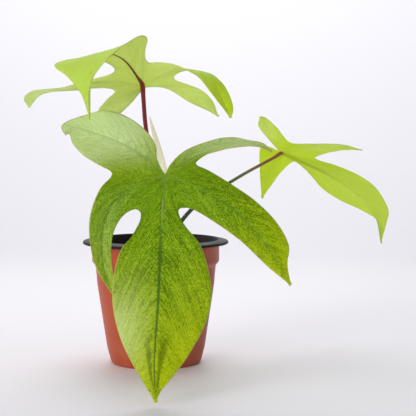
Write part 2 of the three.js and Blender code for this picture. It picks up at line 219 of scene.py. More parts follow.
def grid_faces(rows, columns, first=0, wrap=False):
    """Quads of a grid of points stored row by row; wrap joins the last column to the first."""
    i = np.arange(rows - 1)[:, None]
    j = np.arange(columns if wrap else columns - 1)[None, :]
    k = (j + 1) % columns
    quads = np.stack([i * columns + j, i * columns + k, (i + 1) * columns + k,
                      (i + 1) * columns + j], axis=-1)
    return quads.reshape(-1, 4) + first


def new_piece(name, points, faces, materials, face_material=None, smooth=True):
    """An object at the origin made from points and faces; faces may mix quads and triangles."""
    mesh = bpy.data.meshes.new(name)
    mesh.from_pydata(np.asarray(points).tolist(), [], [list(f) for f in faces])
    for material in materials:
        mesh.materials.append(material)
    if face_material is not None:
        mesh.polygons.foreach_set("material_index", np.asarray(face_material, dtype=np.int32))
    mesh.polygons.foreach_set("use_smooth", np.full(len(mesh.polygons), smooth))
    mesh.update()
    piece = bpy.data.objects.new(name, mesh)
    bpy.context.scene.collection.objects.link(piece)
    return piece


def add_attribute(piece, name, values):
    """A vector attribute, one row for each point."""
    layer = piece.data.attributes.new(name, "FLOAT_VECTOR", "POINT")
    layer.data.foreach_set("vector", np.asarray(values, dtype=np.float32).ravel())


def place(piece, slot, *nodes):
    """The piece rides on the plant's one body and stands for CAD nodes, which it hides; slot is
    not used.
    """
    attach(piece, BODY)
    if nodes:
        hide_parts(*nodes)


# ------------------------------------------------------------------ materials
class Sockets:
    """Short ways to add and link shader nodes in one tree."""

    def __init__(self, tree):
        self.tree = tree

    def add(self, kind, inputs=None, **settings):
        """A node with its settings and inputs."""
        node = self.tree.nodes.new(kind)
        for key, value in settings.items():
            setattr(node, key, value)
        for key, value in (inputs or {}).items():
            self.feed(node.inputs[key], value)
        return node

    def feed(self, socket, value):
        """Link another node's output to a socket, or give it a plain value."""
        if isinstance(value, bpy.types.NodeSocket):
            self.tree.links.new(value, socket)
        else:
            socket.default_value = value

    def math(self, operation, *values, clamp=False):
        """A sum, product or function of single values."""
        node = self.add("ShaderNodeMath", operation=operation, use_clamp=clamp)
        for socket, value in zip(node.inputs, values):
            self.feed(socket, value)
        return node.outputs[0]

    def plus(self, a, b):
        """a + b"""
        return self.math("ADD", a, b)

    def less(self, a, b):
        """a - b"""
        return self.math("SUBTRACT", a, b)

    def times(self, a, b, clamp=False):
        """a b, held between 0 and 1 if clamp is set."""
        return self.math("MULTIPLY", a, b, clamp=clamp)

    def span(self, value, low, high, to_low=0.0, to_high=1.0):
        """A smooth step from to_low where the value is low to to_high where it is high."""
        node = self.add("ShaderNodeMapRange", {"Value": value, "From Min": low, "From Max": high,
                                               "To Min": to_low, "To Max": to_high},
                        interpolation_type="SMOOTHSTEP")
        return node.outputs["Result"]

    def mix(self, factor, a, b):
        """Colour a turned into colour b as far as the factor says."""
        node = self.add("ShaderNodeMix", {"Factor": factor, 6: a, 7: b}, data_type="RGBA")
        return node.outputs[2]

    def noise(self, vector, scale, detail=3.0, roughness=0.55):
        """Soft noise round 0.5."""
        node = self.add("ShaderNodeTexNoise", {"Vector": vector, "Scale": scale,
                                               "Detail": detail, "Roughness": roughness})
        return node.outputs["Fac"]

    def combine(self, x, y, z):
        """A vector of three values."""
        return self.add("ShaderNodeCombineXYZ", {"X": x, "Y": y, "Z": z}).outputs[0]

    def scaled(self, vector, factors):
        """A vector times one factor for each axis."""
        node = self.add("ShaderNodeVectorMath", {0: vector, 1: factors}, operation="MULTIPLY")
        return node.outputs[0]

    def place_at(self):
        """The place on the piece, in metres."""
        return self.add("ShaderNodeTexCoord").outputs["Object"]

    def parts_of(self, attribute):
        """The three values of a vector attribute."""
        vector = self.add("ShaderNodeAttribute", attribute_name=attribute).outputs["Vector"]
        return self.add("ShaderNodeSeparateXYZ", {0: vector}).outputs

    def bumped(self, height, strength, distance):
        """A normal that follows a height."""
        node = self.add("ShaderNodeBump", {"Strength": strength, "Distance": distance,
                                           "Height": height})
        return node.outputs["Normal"]


def rgb(red, green, blue):
    """A colour given in 0 to 255 display values, as linear light with alpha."""
    def linear(c):
        c = c / 255
        return c / 12.92 if c <= 0.04045 else ((c + 0.055) / 1.055) ** 2.4
    return (linear(red), linear(green), linear(blue), 1.0)


def new_group(name, inputs, outputs):
    """A shader node group with named float sockets; returns the tree and its two ends."""
    tree = bpy.data.node_groups.new(name, "ShaderNodeTree")
    for label, value in inputs.items():
        socket = tree.interface.new_socket(label, in_out="INPUT", socket_type="NodeSocketFloat")
        socket.default_value = value
    for label in outputs:
        tree.interface.new_socket(label, in_out="OUTPUT", socket_type="NodeSocketFloat")
    s = Sockets(tree)
    return tree, s, s.add("NodeGroupInput"), s.add("NodeGroupOutput")


def vein_pattern():
    """Masks that follow a leaf's veins, from the attributes vein and limb. Side veins leave
    the main vein forwards and bend to the tip: their phase is the distance along the lobe,
    less Sweep times the distance across it, less Bend times that distance squared."""
    if "leaf_vein_pattern" in bpy.data.node_groups:
        return bpy.data.node_groups["leaf_vein_pattern"]
    tree, s, ends, out = new_group(
        "leaf_vein_pattern",
        {"Sweep": 0.8, "Bend": 22.0, "Spacing": 0.0062, "Rib Width": 0.0011},
        ("Streaks", "Side Veins", "Midrib", "Furrow", "Mottle", "Speckle", "Edge", "Tipward"))
    place_at = s.place_at()
    along, across, share = s.parts_of("vein")
    u, edge_gap, lobe = s.parts_of("limb")
    away = s.math("ABSOLUTE", across)
    wobble = s.times(s.less(s.noise(place_at, 42.0, 2.0), 0.5), 0.008)
    phase = s.less(along, s.times(away, ends.outputs["Sweep"]))
    bend = s.times(s.times(away, away), ends.outputs["Bend"])
    phase = s.plus(s.less(phase, bend), wobble)
    shift = s.times(lobe, 7.3)

    def along_veins(thin, long, detail, roughness):
        at = s.combine(s.times(phase, thin), s.times(across, long), shift)
        return s.noise(at, 1.0, detail, roughness)

    s.feed(out.inputs["Streaks"], along_veins(1150.0, 230.0, 3.0, 0.7))
    s.feed(out.inputs["Mottle"], along_veins(170.0, 60.0, 3.0, 0.6))
    cycle = s.math("FRACT", s.math("DIVIDE", phase, ends.outputs["Spacing"]))
    ridge = s.math("ABSOLUTE", s.less(cycle, 0.5))
    inside = s.times(s.span(away, 0.0006, 0.004), s.span(share, 1.0, 0.7))
    s.feed(out.inputs["Side Veins"], s.times(s.span(ridge, 0.38, 0.5), inside))
    rib = s.times(ends.outputs["Rib Width"], s.span(u, 1.0, 0.0, 0.3, 1.0))
    middle = s.span(s.math("DIVIDE", away, rib), 1.4, 0.3)
    s.feed(out.inputs["Midrib"], middle)
    # Furrow marks where painted shade goes: the main vein and two painted fold shadows beside it
    # near the tip.
    beside = s.span(s.math("ABSOLUTE", s.less(share, 0.24)), 0.17, 0.03)
    near_tip = s.span(s.math("ABSOLUTE", s.less(u, 0.84)), 0.17, 0.03)
    fold = s.times(s.times(beside, near_tip), 0.8)
    s.feed(out.inputs["Furrow"], s.math("MAXIMUM", middle, fold))
    s.feed(out.inputs["Speckle"], s.noise(place_at, 1050.0, 1.0, 0.6))
    s.feed(out.inputs["Edge"], s.span(edge_gap, 0.0007, 0.0001))
    s.feed(out.inputs["Tipward"], u)
    return tree


def start_material(name):
    """A material with an emptied tree, its helper and its output node."""
    material = bpy.data.materials.new(name)
    material.use_nodes = True
    material.node_tree.nodes.clear()
    s = Sockets(material.node_tree)
    return material, s, s.add("ShaderNodeOutputMaterial")


def finish_surface(s, out, inputs, passing=0.0, through=None):
    """Link a principled surface to the output; a share of its light may pass through."""
    shader = s.add("ShaderNodeBsdfPrincipled", inputs).outputs[0]
    if passing:
        behind = s.add("ShaderNodeBsdfTranslucent", {"Color": through}).outputs[0]
        shader = s.add("ShaderNodeMixShader", {0: passing, 1: shader, 2: behind}).outputs[0]
    s.feed(out.inputs["Surface"], shader)


def leaf_skin(name, shades, tip, rib, edge, values):
    """Leaf tissue: dark, middle and light greens sorted by streaks, mottling and speckle. The
    blade's attribute pale says how far they turn to the tip's green, how much painted sheen
    lies on them and how much painted shade darkens the main vein and folds. A fine edge and
    light passing through finish it."""
    material, s, out = start_material(name)
    veins = s.add("ShaderNodeGroup", node_tree=vein_pattern())
    for label in ("Sweep", "Bend", "Spacing", "Rib Width"):
        veins.inputs[label].default_value = values[label]
    mask = veins.outputs
    ripe, painted_sheen, shadow = s.parts_of("pale")
    calm = s.span(mask["Tipward"], 0.3, 0.0, 0.0, 0.35)
    tone = s.times(s.less(mask["Streaks"], 0.5), values["streaks"])
    for label, key in (("Mottle", "mottle"), ("Speckle", "speckle")):
        part = s.times(s.less(mask[label], 0.5), values[key])
        tone = s.plus(tone, part)
    tone = s.times(tone, s.less(1.0, calm))
    tone = s.plus(tone, values["middle"])
    tone = s.plus(tone, s.times(mask["Side Veins"], values["side"]))
    # Painted shade: the tone is darkened along the main vein and the folds beside it near the tip.
    tone = s.less(tone, s.times(shadow, mask["Furrow"]))
    greens = s.add("ShaderNodeValToRGB", {"Fac": tone})
    ramp = greens.color_ramp
    ramp.elements[0].color, ramp.elements[1].color = shades[0], shades[2]
    ramp.elements[0].position, ramp.elements[1].position = 0.12, 0.88
    ramp.elements.new(0.5).color = shades[1]
    toward = s.times(ripe, s.span(tone, 0.0, 0.75, 0.3, 1.0), clamp=True)
    colour = s.mix(toward, greens.outputs["Color"], tip)
    # Painted sheen: a whitish colour laid over the greens where the attribute asks for it,
    # stronger on light streaks.
    sheen_mask = s.times(painted_sheen, s.span(mask["Streaks"], 0.34, 0.66, 0.5, 1.0), clamp=True)
    colour = s.mix(sheen_mask, colour, values["painted_sheen"])
    colour = s.mix(s.times(mask["Midrib"], values["rib"]), colour, rib)
    # Painted shade: the main vein turns a deep green where the attribute asks for shade.
    dark = s.times(s.times(shadow, mask["Midrib"]), 1.3, clamp=True)
    colour = s.mix(dark, colour, values["painted_groove_colour"])
    colour = s.mix(s.times(mask["Edge"], 0.8), colour, edge)
    height = s.plus(s.times(mask["Side Veins"], -0.5), s.times(mask["Speckle"], 0.5))
    height = s.plus(height, s.times(mask["Streaks"], 0.5))
    rough = s.plus(values["rough"], s.times(mask["Speckle"], 0.12))
    finish_surface(s, out, {"Base Color": colour, "Roughness": rough,
                            "Specular IOR Level": values["gloss"],
                            "Normal": s.bumped(height, values["bump"], 0.0004)},
                   values["passing"], values["through"])
    return material


def leaf_edge(name, colour):
    """The cut-thin edge of a blade, a little pale and glossy."""
    material, s, out = start_material(name)
    tone = s.span(s.noise(s.place_at(), 60.0, 2.0), 0.4, 0.65)
    shade = s.mix(tone, colour, rgb(150, 160, 60))
    finish_surface(s, out, {"Base Color": shade, "Roughness": 0.4})
    return material


def stalk_fibres():
    """Long fine fibres and small flecks on a stalk, from its attribute stalk: the distance
    along, the turn round it and the share of its length."""
    if "stalk_fibres" in bpy.data.node_groups:
        return bpy.data.node_groups["stalk_fibres"]
    tree, s, ends, out = new_group("stalk_fibres", {"Flecks": 400.0},
                                   ("Fibres", "Flecks", "Length Share"))
    along, turn, share = s.parts_of("stalk")
    ring_x, ring_y = s.math("COSINE", turn), s.math("SINE", turn)
    fibre_at = s.combine(s.times(along, 25.0), s.times(ring_x, 6.0), s.times(ring_y, 6.0))
    s.feed(out.inputs["Fibres"], s.noise(fibre_at, 1.6, 4.0, 0.6))
    s.feed(out.inputs["Flecks"], s.noise(s.place_at(), ends.outputs["Flecks"], 2.0, 0.5))
    s.feed(out.inputs["Length Share"], share)
    return tree


def stalk_skin(name, colours, shade, roughness=0.38, passing=0.0):
    """Smooth stalk tissue: colours evenly spaced along its length, darker fibres, flecks."""
    material, s, out = start_material(name)
    fibres = s.add("ShaderNodeGroup", node_tree=stalk_fibres())
    mask = fibres.outputs
    ramp = s.add("ShaderNodeValToRGB", {"Fac": mask["Length Share"]})
    stops = ramp.color_ramp.elements
    stops[0].color, stops[1].color = colours[0], colours[-1]
    for k, colour in enumerate(colours[1:-1], start=1):
        stops.new(k / (len(colours) - 1)).color = colour
    dark = s.times(s.span(mask["Fibres"], 0.45, 0.7), 0.45)
    colour = s.mix(dark, ramp.outputs["Color"], shade)
    fleck = s.times(s.span(mask["Flecks"], 0.6, 0.75), 0.25)
    colour = s.mix(fleck, colour, rgb(214, 200, 150))
    finish_surface(s, out, {"Base Color": colour, "Roughness": roughness,
                            "Normal": s.bumped(mask["Fibres"], 0.25, 0.0003)},
                   passing, colours[-1])
    return material


def handling_marks():
    """Dust that gathers low on a pot, faint rubbed clouds and a fine grain."""
    if "handling_marks" in bpy.data.node_groups:
        return bpy.data.node_groups["handling_marks"]
    tree, s, ends, out = new_group("handling_marks", {"Dust Height": 0.03},
                                   ("Dust", "Rub", "Grain"))
    place_at = s.place_at()
    height = s.add("ShaderNodeSeparateXYZ", {0: place_at}).outputs[2]
    cloud = s.noise(place_at, 55.0, 4.0, 0.62)
    low = s.math("DIVIDE", height, ends.outputs["Dust Height"])
    s.feed(out.inputs["Dust"], s.times(s.span(low, 1.0, 0.0), s.span(cloud, 0.42, 0.7)))
    s.feed(out.inputs["Rub"], s.noise(s.scaled(place_at, (1.0, 1.0, 0.5)), 38.0, 3.0, 0.6))
    s.feed(out.inputs["Grain"], s.noise(place_at, 2200.0, 2.0))
    return tree


def pot_plastic(name, colour, rubbed, dust, roughness, gloss):
    """Thin moulded plastic: soft satin with rubbed patches, a fine grain and dust."""
    material, s, out = start_material(name)
    marks = s.add("ShaderNodeGroup", node_tree=handling_marks()).outputs
    shade = s.mix(s.times(s.span(marks["Rub"], 0.4, 0.75), 0.22), colour, rubbed)
    shade = s.mix(s.times(marks["Dust"], 0.12), shade, dust)
    rough = s.plus(roughness, s.times(marks["Rub"], 0.18))
    rough = s.plus(rough, s.times(marks["Dust"], 0.25))
    finish_surface(s, out, {"Base Color": shade, "Roughness": rough,
                            "Specular IOR Level": gloss,
                            "Normal": s.bumped(marks["Grain"], 0.12, 0.0002)})
    return material


def crumb(name, dark, light, scale, roughness):
    """Soil, bark or perlite: two tones broken up by noise, rough all over."""
    material, s, out = start_material(name)
    place_at = s.place_at()
    patches = s.noise(place_at, scale, 5.0, 0.7)
    shade = s.mix(s.span(patches, 0.35, 0.68), dark, light)
    height = s.noise(place_at, 3 * scale, 4.0, 0.7)
    finish_surface(s, out, {"Base Color": shade, "Roughness": roughness,
                            "Normal": s.bumped(height, 0.6, 0.0006)})
    return material


def studio_white(name, colour):
    """The stage: an even matt sheet."""
    material, s, out = start_material(name)
    grain = s.times(s.noise(s.place_at(), 900.0, 2.0), 0.03)
    shade = s.mix(grain, colour, rgb(180, 178, 182))
    finish_surface(s, out, {"Base Color": shade, "Roughness": 0.55,
                            "Specular IOR Level": 0.25})
    return material


# ------------------------------------------------------------------ leaf surface
def leaf_sheet(leaf, along, across):
    """The middle surface of a blade. Each lobe is two ruled patches, P(u, s) = (1 - s) vein(u)
    + s edge(u), with u the share of the length from the foot or notch to the tip and s the
    share of the way from vein to edge. Rows crowd to the tip, where the lobe ends in a round:
    half its width is sqrt(w^2 + e^2), with e^2 = r^2 - (r - d)^2 at the distance d from the
    tip, fading past r. The patches share their veins and the lines from foot to notch."""
    foot = np.array(leaf["foot"], float)
    lobes = leaf["lobes"]
    tips = [np.array(lobe["vein"][-1], float) for lobe in lobes]
    u = 1 - np.linspace(1, 0, along + 1) ** 1.5
    veins = [resampled(smooth_through([(0, 0, 0), *lobe["vein"]], CURVE_SAMPLES), u)
             for lobe in lobes]
    share = (1 - np.cos(np.pi * np.linspace(0, 1, across + 1))) / 2
    share = 0.5 * share + 0.5 * np.linspace(0, 1, across + 1)
    points, facts, quads = [], [], []
    for k in range(len(lobes) + 1):
        before, after = lobes[k - 1] if k else None, lobes[k] if k < len(lobes) else None
        base = np.array(before["notch"] if before and "notch" in before else (0, 0, 0), float)
        down = [tips[k - 1], *before["back"], base] if before else [base]
        up = [*after["edge"], tips[k]] if after else []
        whole = [*down, *up]
        spans = len(whole) - 1
        rows = SPAN_SAMPLES * spans + 1
        curve = smooth_through(whole, rows)
        cut = SPAN_SAMPLES * (len(down) - 1)
        halves = []
        if before:
            halves.append((veins[k - 1], curve[:cut + 1][::-1], False, k - 1))
        if after:
            halves.append((veins[k], curve[cut:], True, k))
        side = 1 if k % 2 else -1
        for (vein, length), edge, flip, lobe in halves:
            edge, _ = resampled(edge, u)
            width = np.linalg.norm(edge - vein, axis=1)
            outward = unit(edge - vein)
            outward[-1] = outward[-2]
            tip_gap = (1 - u) * length / TIP_ROUND
            ending = np.sqrt(1 - (1 - np.clip(tip_gap, 0, 1)) ** 2)
            ending *= TIP_ROUND * np.exp(-np.clip(tip_gap - 1, 0, None) / 3)
            width = np.hypot(width, ending)
            edge = vein + outward * width[:, None]
            grid = vein[:, None] + share[None, :, None] * (edge - vein)[:, None]
            reach = share[None, :] * width[:, None]
            facts.append(np.stack([
                np.broadcast_to(u[:, None] * length, reach.shape), side * reach,
                np.broadcast_to(share[None, :], reach.shape),
                np.broadcast_to(u[:, None], reach.shape), width[:, None] - reach,
                np.full(reach.shape, float(lobe))], axis=-1).reshape(-1, 6))
            faces = grid_faces(along + 1, across + 1, sum(len(p) for p in points))
            quads.append(faces if flip else faces[:, ::-1])
            points.append(grid.reshape(-1, 3))
    points, facts, quads = np.vstack(points), np.vstack(facts), np.vstack(quads)
    _, first, merged = np.unique(np.round(points * 1e3).astype(np.int64), axis=0,
                                 return_index=True, return_inverse=True)
    return points[first] + foot, facts[first], merged.ravel()[quads]


def face_normals_at(points, quads):
    """Point normals: the diagonals' cross product of every face, summed at its corners."""
    normal = np.cross(points[quads[:, 2]] - points[quads[:, 0]],
                      points[quads[:, 3]] - points[quads[:, 1]])
    total = np.zeros_like(points)
    for corner in range(4):
        np.add.at(total, quads[:, corner], normal)
    return unit(total)


def relaxed(points, quads, free, rounds):
    """Places or tints of points moved half-way to the mean of their neighbours along faces,
    some rounds over, where free is 1, which takes the folds out of veins and notch lines."""
    a = quads.ravel()
    b = np.roll(quads, -1, axis=1).ravel()
    a, b = np.concatenate([a, b]), np.concatenate([b, a])
    keep = a != b
    a, b = a[keep], b[keep]
    count = np.bincount(a, minlength=len(points))[:, None]
    for _ in range(rounds):
        mean = np.zeros_like(points)
        np.add.at(mean, a, points[b])
        points = points + 0.5 * free[:, None] * (mean / count - points)
    return points


def border(quads):
    """Directed edges that belong to one face only."""
    a = quads.ravel()
    b = np.roll(quads, -1, axis=1).ravel()
    keep = a != b
    a, b = a[keep], b[keep]
    size = max(a.max(), b.max()) + 1
    alone = ~np.isin(a * size + b, b * size + a)
    return a[alone], b[alone]


def corners_of(quads):
    """Face corner lists, with a quad that has two equal corners given as a triangle."""
    same = quads == np.roll(quads, -1, axis=1)
    keep = same.sum(axis=1) <= 1
    return [[c for c, s in zip(q, t) if not s] if t.any() else q
            for q, t in zip(quads[keep].tolist(), same[keep])]


def leaf_form(leaf):
    """A blade's middle surface with its folds relaxed: points, facts, quads, rim and normals."""
    points, facts, quads = leaf_sheet(leaf, LOBE_ROWS, HALF_LOBE_COLUMNS)
    edge_a, edge_b = border(quads)
    rim = np.zeros(len(points), bool)
    rim[edge_a] = rim[edge_b] = True
    points = relaxed(points, quads, (~rim).astype(float), FOLD_ROUNDS)
    return points, facts, quads, rim, face_normals_at(points, quads)


def ripeness_sheen_and_shade(leaf, facts, quads):
    """How ripe each point is, how much painted sheen and how much painted shade it takes; the
    first two are relaxed over the blade so that lobes run into each other. With u the share
    of a lobe's length, ripeness goes from the first to the second value of its lobe, and up
    at the margin. The painted sheen is the third value, and at the left margin a painted
    highlight, the fifth times exp(-((u - 0.63) / 0.11)^2), adds to both. The fourth is how
    much painted shade darkens the main vein and the folds beside it."""
    across, share, u = facts[:, 1:4].T
    tints = np.array([lobe["pale"] for lobe in leaf["lobes"]])[facts[:, 5].astype(int)]
    start, end, sheen_weight, groove_shade, highlight_weight = tints.T
    ripe = start + (end - start) * np.clip((u - 0.3) / 0.6, 0, 1) ** 1.8
    ripe = np.clip(ripe + 0.75 * end * share**2 * np.clip(2 * u - 0.3, 0, 1), 0, 1)
    painted_sheen = sheen_weight * np.clip((u - 0.12) / 0.3, 0, 1) * (1 - 0.3 * np.clip(across / 10, 0, 1))
    # Painted highlight: a pale spot on the left margin near u = 0.63, added to ripeness and to the
    # painted sheen.
    outward = np.clip(-2.2 * share * np.sign(across) - 0.8, 0, 1)
    painted_highlight = np.exp(-(((u - 0.63) / 0.11) ** 2)) * outward
    painted_sheen = painted_sheen + 0.7 * highlight_weight * painted_highlight
    ripe = np.clip(ripe + 0.6 * highlight_weight * painted_highlight, 0, 1)
    both = np.stack([ripe, painted_sheen], axis=1)
    ripe, painted_sheen = relaxed(both, quads, np.ones(len(u)), TINT_AND_SHEEN_ROUNDS).T
    # Painted shade for the main vein and folds, from about a quarter of the lobe almost to its
    # tip.
    shade = groove_shade * np.clip((u - 0.22) / 0.2, 0, 1) * np.clip((1 - u) / 0.08, 0, 1)
    return np.stack([ripe, painted_sheen, shade], axis=1)


def leaf_blade(name, leaf, thickness, rib, pleat, materials):
    """A closed blade: the middle surface moved both ways along its normals. Above, the main
    vein is a groove exp(-(d / w)^2) and side veins are shallow pleats, a cosine of the
    distance along less the distance across; below, the main vein stands out as a rounded
    rib. The edge thins to a third."""
    points, facts, quads, rim, normal = leaf_form(leaf)
    along, across, share, u, edge_gap, lobe = facts.T
    away = np.abs(across)
    edge_a, edge_b = border(quads)
    taper = 1 - 0.8 * u
    groove = np.exp(-((away / (1.5 * rib * taper + 0.15)) ** 2))
    phase = along - 1.1 * away + 1.6 * np.sin(0.11 * along + 0.2 * away + 2.1 * lobe)
    swell = np.sin(np.pi * share) ** 0.8 * np.clip(edge_gap / 3, 0, 1)
    pleats = pleat * swell * np.cos(2 * np.pi * phase / PLEAT_STEP)
    ripple = 0.5 * share**4 * np.sin(0.16 * along + 1.7 * lobe) * np.clip(4 * u * (1 - u), 0, 1)
    half = thickness / 2 * (0.35 + 0.65 * np.clip(edge_gap / 1.6, 0, 1))
    middle = points + normal * ((pleats + ripple * ~rim)[:, None])
    above = middle + normal * (half - 0.45 * rib * groove * taper)[:, None]
    below = middle - normal * (half + 0.55 * rib * taper
                               * np.exp(-((away / (0.8 * rib * taper + 0.1)) ** 2)))[:, None]
    n = len(points)
    skin = np.vstack([above, below]) * MM + STEM_FOOT
    sides = np.stack([edge_b, edge_a, edge_a + n, edge_b + n], axis=1)
    top, under = corners_of(quads), corners_of(quads[:, ::-1] + n)
    piece = new_piece(name, skin, top + under + sides.tolist(), materials,
                      [0] * len(top) + [1] * len(under) + [2] * len(sides))
    both = np.concatenate([np.arange(n), np.arange(n)])
    add_attribute(piece, "vein", np.stack([along * MM, across * MM, share], axis=1)[both])
    add_attribute(piece, "limb", np.stack([u, edge_gap * MM, lobe], axis=1)[both])
    add_attribute(piece, "pale", ripeness_sheen_and_shade(leaf, facts, quads)[both])
    return piece


# ------------------------------------------------------------------ stalks
def stalk(name, route, radius, materials, rings=120, around=28, channel=0.0, flat=1.0):
    """A tube carried along a smooth route: each ring is centre + r (cos a side + flat sin a
    up), r = radius(t) (1 - channel exp(-((a - 90 deg) / 0.5)^2)), with round closed ends."""
    t = np.linspace(0, 1, rings + 1)
    curve, length = resampled(smooth_through(route, CURVE_SAMPLES), t)
    ahead = unit(np.gradient(curve, axis=0))
    side = unit(np.cross(ahead, np.array([0.12, 0.35, 1.0])))
    up = np.cross(side, ahead)
    a = np.linspace(0, 2 * np.pi, around, endpoint=False)
    gap = np.clip(np.minimum(t, 1 - t) * length, 0, STALK_ROUND) / STALK_ROUND
    ends = np.sqrt(np.clip(1 - (1 - gap) ** 2, 0, 1))
    dent = 1 - channel * np.exp(-(((a - np.pi / 2) / 0.5) ** 2))
    r = (radius(t) * np.maximum(ends, 0.02))[:, None] * dent[None, :]
    ring = (curve[:, None] + (r * np.cos(a))[..., None] * side[:, None]
            + (flat * r * np.sin(a))[..., None] * up[:, None])
    points = np.vstack([ring.reshape(-1, 3), curve[:1], curve[-1:]])
    faces = grid_faces(rings + 1, around, wrap=True)
    j = np.arange(around)
    k = (j + 1) % around
    n = (rings + 1) * around
    caps = np.concatenate([np.stack([np.full(around, n), k, j], axis=1),
                           np.stack([np.full(around, n + 1), n - around + j,
                                     n - around + k], axis=1)])
    piece = new_piece(name, points * MM + STEM_FOOT, faces.tolist() + caps.tolist(), materials)
    facts = np.stack([np.broadcast_to((t * length * MM)[:, None], r.shape),
                      np.broadcast_to(a[None, :], r.shape),
                      np.broadcast_to(t[:, None], r.shape)], axis=-1).reshape(-1, 3)
    add_attribute(piece, "stalk", np.vstack([facts, facts[:1], facts[-1:]]))
    return piece


def under_vein(leaf, lobe, reach, radius):
    """Route points behind a lobe's main vein, from the blade's foot to a share of its length:
    the vein less its normal times a drop that shrinks as the stalk thins into the blade."""
    points, facts, _, _, normal = leaf_form(leaf)
    on_vein = (facts[:, 5] == lobe) & (facts[:, 2] == 0) & (facts[:, 3] <= reach)
    order = np.argsort(facts[on_vein, 3])
    points, normal = points[on_vein][order], normal[on_vein][order]
    share = np.linspace(0, 1, len(order))
    normal = unit(normal + 0.6 * normal[len(order) // 3])
    drop = 0.55 + radius * (1 - share) ** 6
    return [tuple(p) for p in (points - normal * drop[:, None])[::3]]


def petiole_radius(base, end, blade_at):
    """Clasping and thick at the stem, slim, swollen a little where the blade starts, then a
    thinner rib that runs out under the blade: r = end (1 - 0.45 step) (1 - x)^0.7, with x the
    share of the way along the rib."""
    def radius(t):
        body = end + (base - end) * (1 - t) ** 3 + 0.2 * end * np.exp(
            -(((t - blade_at + 0.01) / 0.03) ** 2))
        rib = np.clip((t - blade_at) / (1 - blade_at), 0, 1)
        return body * (1 - 0.45 * np.clip(rib / 0.15, 0, 1)) * (1 - rib) ** 0.7
    return radius


# ------------------------------------------------------------------ pot and mix
def rounded(profile, radius, steps=5):
    """A profile whose inner corners are eased: each is the curve (1-t)^2 a + 2t(1-t) p + t^2 b
    from a point before the corner p to a point after it."""
    p = np.asarray(profile, float)
    back, ahead = p[:-2] - p[1:-1], p[2:] - p[1:-1]
    reach = np.minimum(radius, 0.45 * np.minimum(np.linalg.norm(back, axis=1),
                                                 np.linalg.norm(ahead, axis=1)))[:, None]
    a, b, c = p[1:-1] + unit(back) * reach, p[1:-1] + unit(ahead) * reach, p[1:-1]
    t = np.linspace(0, 1, steps)[:, None, None]
    arcs = (1 - t) ** 2 * a + 2 * t * (1 - t) * c + t**2 * b
    return np.vstack([p[:1], arcs.transpose(1, 0, 2).reshape(-1, 2), p[-1:]])


def turned(profile, around):
    """A profile of radius and height turned about Z: (r cos a, r sin a, z), with its first and
    last points on the axis. Gives points, quads and triangles for the two poles."""
    p = np.asarray(profile, float)
    a = np.linspace(0, 2 * np.pi, around, endpoint=False)
    inner = p[1:-1]
    ring = np.stack([inner[:, :1] * np.cos(a), inner[:, :1] * np.sin(a),
                     np.broadcast_to(inner[:, 1:], (len(inner), around))], axis=-1)
    points = np.vstack([ring.reshape(-1, 3), [[0, 0, p[0, 1]], [0, 0, p[-1, 1]]]])
    quads = grid_faces(len(inner), around, wrap=True)
    j = np.arange(around)
    k = (j + 1) % around
    n = len(inner) * around
    last = n - around
    poles = np.concatenate([np.stack([np.full(around, n), k, j], axis=1),
                            np.stack([np.full(around, n + 1), last + j, last + k], axis=1)])
    return points, quads, poles


def pot_profile(lip_width, wall):
    """Underside, outer wall, rolled lip and inner wall as radius and height in millimetres,
    from the loaded pot's rim and height; also how many of the points come before the lip."""
    rim, top = RIM_RADIUS / MM, POT_HEIGHT / MM
    disc, channel, foot_in, foot_out = 12, 1.6, 28, 33
    heel, heel_up, belly, belly_up = 37, 12, 44.2, 60
    collar, step = 17, 2.6
    lip_inner, lip_edge = rim - lip_width, top - 1.5
    outside = rounded([
        (0, 0), (disc, 0), (disc + channel, channel), (foot_in - channel, channel), (foot_in, 0),
        (foot_out, 0), (foot_out + 1.2, channel), (heel, heel_up), (belly, belly_up),
        (lip_inner - step, top - collar - step), (lip_inner, top - collar),
        (lip_inner, lip_edge - 1.7)], 1.4)
    lip = rounded([(lip_inner, lip_edge - 1.7), (rim - 0.4, lip_edge - 2.0), (rim, lip_edge - 0.9),
                   (rim - 0.5, lip_edge + 0.1), (lip_inner, top),
                   (lip_inner - wall, top - 0.9)], 0.8)
    inside = rounded([(lip_inner - wall, top - 0.9), (lip_inner - wall, top - collar + 0.4),
                      (lip_inner - step - wall, top - collar - step + 0.4),
                      (heel - wall, heel_up), (foot_out + 1 - wall, channel + wall),
                      (0, channel + wall)], 1.2)
    return np.vstack([outside, lip[1:], inside[1:]]), len(outside)


